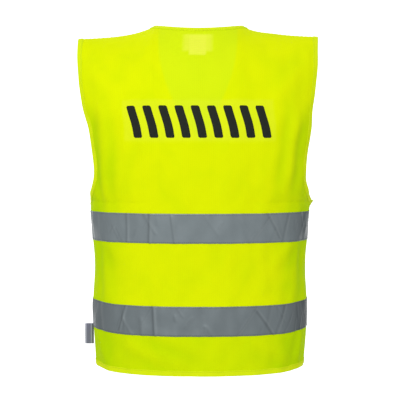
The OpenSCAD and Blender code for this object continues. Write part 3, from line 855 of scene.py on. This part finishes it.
def binding_rings(path, turn, thick, closed=False):
    """Rings of the binding along stations, and its stitch lines on the outer and the inner leg."""
    n = len(path)
    middle, normal = np.zeros((n, 3)), np.zeros((n, 3))
    groups = {}
    for i, (part, _, _) in enumerate(path):
        groups.setdefault(part, []).append(i)
    phi, h = np.array([s[1] for s in path]), np.array([s[2] for s in path])
    for part, idx in groups.items():
        middle[idx] = place(part, phi[idx], h[idx])
        normal[idx] = world(part, outward(part, phi[idx], h[idx]))
    if closed:
        ahead, behind = np.roll(middle, -1, 0), np.roll(middle, 1, 0)
    else:
        ahead, behind = np.concatenate([middle[1:], middle[-1:]]), np.concatenate([middle[:1], middle[:-1]])
    inward = turn * unit(np.cross(normal, unit(ahead - behind)))
    arc = lengths(middle)
    swell = 1 + 0.10 * np.sin(2 * np.pi * arc / 0.0068) + 0.05 * np.sin(2 * np.pi * arc / 0.0191 + 1)
    wander = 0.00035 * np.sin(2 * np.pi * arc / 0.057) + 0.0002 * np.sin(2 * np.pi * arc / 0.0213 + 2)
    section = binding_section(thick)

    def leg(a, off):
        out = np.zeros((n, 3))
        reach = a + (wander if a > BINDING_W / 2 else 0) * np.ones(n)
        for part, idx in groups.items():
            swollen = off * np.where(abs(off) > 0.9 * thick, swell[idx], 1)
            if a <= 0:
                out[idx] = place(part, phi[idx], h[idx]) + normal[idx] * swollen[:, None] + inward[idx] * a
            else:
                p2, h2 = step_in(part, phi[idx], h[idx], inward[idx], reach[idx])
                out[idx] = place(part, p2, h2, swollen)
        return out

    rings = np.stack([leg(a, off) for a, off in section], 1)
    seam_a = BINDING_W - 0.0018
    return rings, [(leg(seam_a, thick * 1.02), normal), (leg(seam_a, -thick * 1.02), -normal)]


edge_rows = np.concatenate([ROWS[ROWS < 0.05], rows_between(0.0525, VEST_H, 0.0026)])
left_edge = stations(LEFT, phi_at(neckline_x(edge_rows), edge_rows), edge_rows)
right_edge = stations(RIGHT, phi_at(neckline_x(edge_rows), edge_rows), edge_rows)
nape_x = float(neckline_x(0.0)) * np.sin(np.linspace(-np.pi / 2, np.pi / 2, 120))[1:-1]
nape = stations(BACK, phi_at(nape_x, np.zeros(nape_x.shape)), np.zeros(nape_x.shape))


def split_binding(names, pieces, turn, thick):
    """One binding along several runs of stations, cut into a piece for each, with matching cuts."""
    path = [s for run, _, _ in pieces for s in run]
    cuts = np.cumsum([0] + [len(run) for run, _, _ in pieces])
    rings, seams = binding_rings(path, turn, thick)
    for k, (name, (_, part, nodes)) in enumerate(zip(names, pieces)):
        a, b = cuts[k], min(cuts[k + 1] + 1, len(path))
        trim(part, tube_mesh(name, rings[a:b], BINDING), nodes)
        runs = [(line[a:b], up[a:b]) for line, up in seams]
        trim(part, thread_sets(name + "_stitches", runs, THREAD), ())


split_binding(
    ["right_front_edge_tape", "nape_tape", "left_front_edge_tape"],
    [(right_edge[::-1], RIGHT, ["right_front_edge_binding"]), (nape, BACK, ["neck_binding"]),
     (left_edge, LEFT, ["left_front_edge_binding"])], 1, EDGE_BINDING_T)

front_hem_phi = np.linspace(float(phi_at(-OVERLAP + HEM_END, VEST_H)), np.pi / 2, 118)
back_hem_phi = np.linspace(-np.pi / 2, np.pi / 2, 210)[1:-1]
front_hem, back_hem = np.full(front_hem_phi.shape, VEST_H), np.full(back_hem_phi.shape, VEST_H)
split_binding(
    ["right_front_hem_tape", "back_hem_tape", "left_front_hem_tape"],
    [(stations(RIGHT, front_hem_phi, front_hem), RIGHT, ["right_front_hem_binding"]),
     (stations(BACK, back_hem_phi, back_hem), BACK, ["back_hem_binding"]),
     (stations(LEFT, front_hem_phi[::-1], front_hem), LEFT, ["left_front_hem_binding"])], -1, BINDING_T)

# Round each armhole: down the back, past its lowest point and up the front
for part in (LEFT, RIGHT):
    down = ROWS[ROWS < ARMHOLE_Z]
    up = down[::-1][:-1]
    path = (stations(BACK, part.mirror * edge_phi(down), down) + [(BACK, part.mirror * np.pi / 2, ARMHOLE_Z)]
            + stations(part, edge_phi(up), up))
    rings, seams = binding_rings(path, part.mirror, BINDING_T, closed=True)
    name = f"{part.name}_armhole_tape"
    trim(BACK, tube_mesh(name, rings, BINDING, closed=True), [f"{part.name}_armhole_binding"])
    trim(BACK, thread_sets(name + "_stitches", seams, THREAD), ())


# ---- Seam allowances, sewn over at their edge

def overlocked(name, line, into, half, depth, nodes):
    """Two plies that stand in from a seam line, with a thread looped over their free edge."""
    n = len(line)
    arc = lengths(line)
    sway = 0.0006 * np.sin(2 * np.pi * arc / 0.019) + 0.0003 * np.sin(2 * np.pi * arc / 0.0071 + 1)
    across = np.array([0, 1.0, 0])
    corners = [(0.0, 0.3), (0.5, 0.8), (0.92, 1.0), (1.0, 0.5), (1.0, -0.5), (0.92, -1.0), (0.5, -0.8), (0.0, -0.3)]
    rings = np.stack([line + into * depth * a + across * (half * b + (sway * a)[:, None]) for a, b in corners], 1)
    trim(BACK, tube_mesh(name, rings, SEAM), nodes)
    runs = []
    for k in range(2, n - 2, 2):
        loop = []
        for a, b in ((0.35, 1.12), (0.8, 1.25), (1.04, 0.7), (1.04, -0.7), (0.8, -1.25), (0.35, -1.12)):
            at = min(n - 1, k + 1) if b < 0 else k
            loop.append(line[at] + into[at] * depth * a + across * (half * b + sway[at] * a))
        runs.append((np.array(loop), unit(np.array(loop) - np.mean(loop, 0))))
    for a in (0.25, 0.85):
        for b in (1.1, -1.1):
            runs.append((line + into * depth * a + across * (half * b + (sway * a)[:, None]),
                         np.broadcast_to(across * np.sign(b), line.shape)))
    return runs


def loops_mesh(name, runs, radius=0.00022):
    """Threads that follow each run from end to end."""
    blocks = [thread_rings(path, up, radius) for path, up in runs]
    verts = np.concatenate([b.reshape(-1, 3) for b in blocks])
    faces, start = [], 0
    for b in blocks:
        m, k = b.shape[:2]
        faces += grid_faces(m, k, start, False, True).tolist()
        faces += [[start + j for j in range(k)], [start + (m - 1) * k + j for j in range(k)]]
        start += m * k
    return new_mesh(name, verts, faces, THREAD)


def thread_rings(path, up, radius, sides=4):
    angle = 2 * np.pi * (np.arange(sides) + 0.5) / sides
    ahead = unit(np.gradient(path, axis=0))
    sideways = unit(np.cross(ahead, up))
    lifted = np.cross(sideways, ahead)
    return (path[:, None, :] + radius * (np.cos(angle)[None, :, None] * sideways[:, None, :]
                                         + np.sin(angle)[None, :, None] * lifted[:, None, :]))


PLY_HALF, ALLOWANCE, SEAM_IN = 0.00055, 0.0060, 0.0012


def seam(name, x, z, into):
    """The allowance along a seam line, with the thread that's looped over it."""
    line = hang(np.stack([x, np.zeros(len(x)), z], -1))
    runs = overlocked(name + "_allowance", line, np.tile(into, (len(x), 1)), PLY_HALF, ALLOWANCE, [name + "_seam"])
    trim(BACK, loops_mesh(name + "_overlock", runs), ())


for mirror, hand in ((1, "left"), (-1, "right")):
    x = np.linspace(NECK_W + 0.010, SHOULDER_W - 0.012, 60)
    seam(hand + "_shoulder", mirror * x, ridge(x) - SEAM_IN, [0, 0, -1.0])
    h = np.linspace(*drop(hand + "_side_seam"), 120)
    seam(hand + "_side", mirror * (curve(SIDE_OUTLINE, h) - SEAM_IN), -h, [-mirror, 0, 0.0])


# ---- Hook and loop closure

STRIP_HALF_W, STRIP_T, CORNER_R, STITCH_INSET = 0.0095, 0.0006, 0.003, 0.0015
HOOK_PITCH, HOOK_SPREAD, BEND_REACH, BRISTLE_R = 0.0015, 0.0002, 0.0008, 0.00011
HOOK_TOP, HOOK_MARGIN = 0.0035, 0.003


def rectangle(half_w, top, bottom, count):
    """Points (x, h) round a rectangle on the centre line, so many to a side."""
    corners = [(-half_w, top), (half_w, top), (half_w, bottom), (-half_w, bottom), (-half_w, top)]
    return np.concatenate([np.linspace(a, b, count)[:-1] for a, b in zip(corners[:-1], corners[1:])])


def strip(part, name, node_name, material, near, far):
    """The ground of a hook or loop strip on a front, between two offsets, with rounded corners."""
    top, bottom = drop(node_name)
    rows, share = np.linspace(top, bottom, 34), np.linspace(-1, 1, 13)
    corner = np.maximum(0, CORNER_R - np.minimum(rows - top, bottom - rows))
    x = (STRIP_HALF_W - corner**2 / (2 * CORNER_R))[:, None] * share[None, :]
    h = np.broadcast_to(rows[:, None], x.shape)
    phi = phi_at(x, h)
    ground = sheet_mesh(name, place(part, phi, h, near), place(part, phi, h, far), material)
    trim(part, ground, [node_name])
    path = rectangle(STRIP_HALF_W - STITCH_INSET, top + STITCH_INSET, bottom - STITCH_INSET, 24)
    phi = phi_at(path[:, 0], path[:, 1])
    up = world(part, outward(part, phi, path[:, 1])) * np.sign(near)
    trim(part, thread_sets(name + "_stitches", [(place(part, phi, path[:, 1], near), up)], THREAD), ())


def bristles(part, name, node_name, material, root, tip, bend, seed):
    """Rows of short bent threads that stand on a strip: hooks that curl over, or loops that come back down."""
    rng = np.random.default_rng(seed)
    top, bottom = drop(node_name)
    rows = np.arange(top + HOOK_TOP, bottom - HOOK_MARGIN, HOOK_PITCH)
    cols = np.arange(-STRIP_HALF_W + HOOK_MARGIN, STRIP_HALF_W - 0.97 * HOOK_MARGIN, HOOK_PITCH)
    h, x = np.meshgrid(rows, cols, indexing="ij")
    h = h.ravel() + rng.uniform(-HOOK_SPREAD, HOOK_SPREAD, h.size)
    x = x.ravel() + rng.uniform(-HOOK_SPREAD, HOOK_SPREAD, x.size)
    phi = phi_at(x, h)
    foot = place(part, phi, h, root)
    up = world(part, outward(part, phi, h)) * np.sign(tip - root)
    tall = abs(tip - root) * rng.uniform(0.85, 1.0, h.size)
    aside = unit(np.cross(up, np.array([0, 0, 1.0]))) * rng.choice([-1, 1], h.size)[:, None]
    path = np.stack([foot + up * (tall * b)[:, None] + aside * (BEND_REACH * a) for a, b in bend], 1)
    ahead = unit(np.gradient(path, axis=1))
    sideways = np.broadcast_to(np.array([0, 0, 1.0]), ahead.shape)
    lifted = unit(np.cross(ahead, sideways))
    angle = 2 * np.pi * np.arange(3) / 3
    ring = np.cos(angle)[:, None] * sideways[:, :, None, :] + np.sin(angle)[:, None] * lifted[:, :, None, :]
    verts = path[:, :, None, :] + BRISTLE_R * ring
    trim(part, new_mesh(name, verts, repeated_faces(*verts.shape[:3]), material), ())


HOOK_SHAPE = [(0, 0), (0, 0.6), (0.25, 0.95), (0.7, 0.9), (0.85, 0.6)]
LOOP_SHAPE = [(0, 0), (0.1, 0.7), (0.5, 1.0), (0.9, 0.7), (1.0, 0.0)]
# Which front, what stands on the strip and out of which face, how tall it is, its shape and its seed
CLOSURE = [(LEFT, "hook", HOOK, -1, 0.0010, HOOK_SHAPE, 5), (RIGHT, "loop", LOOP, 1, 0.0008, LOOP_SHAPE, 6)]
for which in ("upper", "lower"):
    for part, kind, material, way, tall, shape, seed in CLOSURE:
        name, face = f"{part.name}_{which}_{kind}", way * (CLOTH_T / 2 + STRIP_T)
        strip(part, name + "_tape", name + "_strip", material, face, way * CLOTH_T / 2)
        bristles(part, name + "s", name + "_strip", material, face, face + way * tall, shape, seed)


# ---- Labels inside the neck

NECK_LABEL, CARE_LABEL = (0.025, -0.0007, LABEL), (0.015, -0.0016, CARE)
LABEL_T, LABEL_SEAM, CARE_CURL = 0.0003, 0.0014, 0.0006


def label_sheet(node_name, size, body, curl):
    """A label behind the back, from its half width, offset and material. Its lower end may curl away."""
    half_w, near, material = size
    top, bottom = drop(node_name)
    rows, share = np.linspace(top, bottom, 20), np.linspace(-1, 1, 25)
    x, h = np.meshgrid(half_w * share, rows)
    phi = phi_at(x, h)
    off = near - curl * ((h - top) / (bottom - top)) ** 2 * (0.4 + share[None, :] ** 2)
    piece = sheet_mesh(node_name + "_woven", place(BACK, phi, h, off), place(BACK, phi, h, off - LABEL_T), material)
    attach(piece, body)
    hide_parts(node_name)
    return piece


def label_stitches(node_name, size):
    half_w, near, _ = size
    top, bottom = drop(node_name)
    path = rectangle(half_w - LABEL_SEAM, top + LABEL_SEAM, bottom - LABEL_SEAM, 30)
    phi = phi_at(path[:, 0], path[:, 1])
    line = place(BACK, phi, path[:, 1], near - LABEL_T)
    return thread_sets(node_name + "_stitches", [(line, -outward(BACK, phi, path[:, 1]))], WHITE_THREAD,
                       0.0022, 0.0030, 0.0002)


trims["back"].append(label_sheet("neck_label", NECK_LABEL, BODY, 0.0))
trim(BACK, label_stitches("neck_label", NECK_LABEL), ())
label_sheet("care_label", CARE_LABEL, "hanging_label", CARE_CURL)


# ---- Side tag: a folded loop of woven tape that stands out of the side seam

# How far the tag reaches in to the seam, half the gap in its loop, its end's radius, how far it bows, its ply
TAG_ROOT, TAG_GAP, TAG_END_R, TAG_BOW, TAG_PLY = 0.0022, 0.00035, 0.0009, 0.0012, 0.00025


def side_tag():
    low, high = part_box("side_tag")
    reach = high.x - low.x
    turn = np.radians(np.linspace(90, -90, 9))
    end = TAG_END_R / reach
    outer = [(-TAG_ROOT / reach, TAG_GAP + 0.0002), (0.3, TAG_GAP + 0.00035), (0.6, TAG_GAP + 0.0004)]
    nose = [(1 - end + end * math.cos(a), (TAG_GAP + 0.0003) * math.sin(a)) for a in turn]
    out = outer + nose + [(a, -b) for a, b in outer[::-1]]
    inn = [(a - (TAG_PLY / reach if a > 0.9 else 0), b * 0.35) for a, b in out][::-1]
    z = np.linspace(high.z, low.z, 28)
    bow = TAG_BOW * np.sin(np.pi * (high.z - z) / (high.z - low.z))
    rings = np.stack([np.stack([low.x + reach * a - 0 * z, b + bow * a, z], -1) for a, b in out + inn], 1)
    piece = tube_mesh("side_tag_woven", rings, TAG)
    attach(piece, "seam_tag")
    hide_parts("side_tag")


side_tag()


# ---- Back print: a row of plain slanted blocks, as a thin film on the cloth

BLOCKS, BLOCK_W, BLOCK_PITCH, BLOCK_SLANT, BLOCK_CORNER = 9, 0.015, 0.028, 0.010, 0.002
INK_HIGH, INK_LOW = 0.00012, 0.00005


def back_print():
    low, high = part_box("back_print")
    top, bottom = -high.z, -low.z
    rows, share = np.linspace(top, bottom, 26), np.linspace(-1, 1, 9)
    corner = np.maximum(0, BLOCK_CORNER - np.minimum(rows - top, bottom - rows))
    half = BLOCK_W / 2 - BLOCK_CORNER + np.sqrt(np.maximum(BLOCK_CORNER**2 - corner**2, 0))
    for k in range(BLOCKS):
        centre = (k - (BLOCKS - 1) / 2) * BLOCK_PITCH + BLOCK_SLANT * (0.5 - (rows - top) / (bottom - top))
        x = centre[:, None] + half[:, None] * share[None, :]
        h = rows[:, None] + top_z(x) * (1 - smooth(rows[:, None] / SLOPE_FADE))
        phi, face = phi_at(x, h), CLOTH_T / 2
        block = sheet_mesh(f"print_block_{k + 1}", place(BACK, phi, h, face + INK_HIGH),
                           place(BACK, phi, h, face - INK_LOW), INK)
        trim(BACK, block, ["back_print"])


back_print()


# ---- Stage, light and camera

SKY = 0.62
BACKDROP_Y, BACKDROP_HALF = -3.2, 3.6
CAMERA_AT, CAMERA_DOWN, LENS, SENSOR = (0.0, 2.125, -0.218), 2.8, 104.0, 36

scene = bpy.context.scene
scene.view_settings.view_transform = "Standard"
world_light = bpy.data.worlds.new("studio")
scene.world = world_light
world_light.use_nodes = True
settings(world_light.node_tree.nodes["Background"], Color=(1, 1, 1, 1), Strength=SKY)

white, _, white_shader = shader("backdrop_white")
settings(white_shader, Base_Color=(0.9, 0.9, 0.9, 1), Emission_Color=(1, 1, 1, 1), Emission_Strength=1.0)
corners = np.array([(-1, 0, -1), (1, 0, -1), (1, 0, 1), (-1, 0, 1)]) * BACKDROP_HALF
backdrop = new_mesh("backdrop", corners + np.array([0, BACKDROP_Y, -0.3]), [[0, 1, 2, 3]], white, flat=True)


def soft_light(name, at, aim, size, power):
    data = bpy.data.lights.new(name, "AREA")
    data.shape, data.size, data.size_y, data.energy = "RECTANGLE", size, size, power
    lamp = bpy.data.objects.new(name, data)
    lamp.location = at
    direction = Vector(aim) - Vector(at)
    lamp.rotation_euler = direction.to_track_quat("-Z", "Y").to_euler()
    scene.collection.objects.link(lamp)


middle = (0, 0, (cad_low.z + cad_high.z) / 2)
soft_light("key", (0.55, 2.5, 0.9), middle, 1.4, 34)
soft_light("front_key", (1.2, -2.4, 1.3), middle, 1.6, 12)

# The camera stands about 2 m behind the vest, level with its chest, and looks slightly down
camera_data = bpy.data.cameras.new("camera")
camera_data.lens, camera_data.sensor_width = LENS, SENSOR
camera = bpy.data.objects.new("camera", camera_data)
camera.location = CAMERA_AT
camera.rotation_euler = (math.radians(90 - CAMERA_DOWN), 0, math.pi)
scene.collection.objects.link(camera)
scene.camera = camera
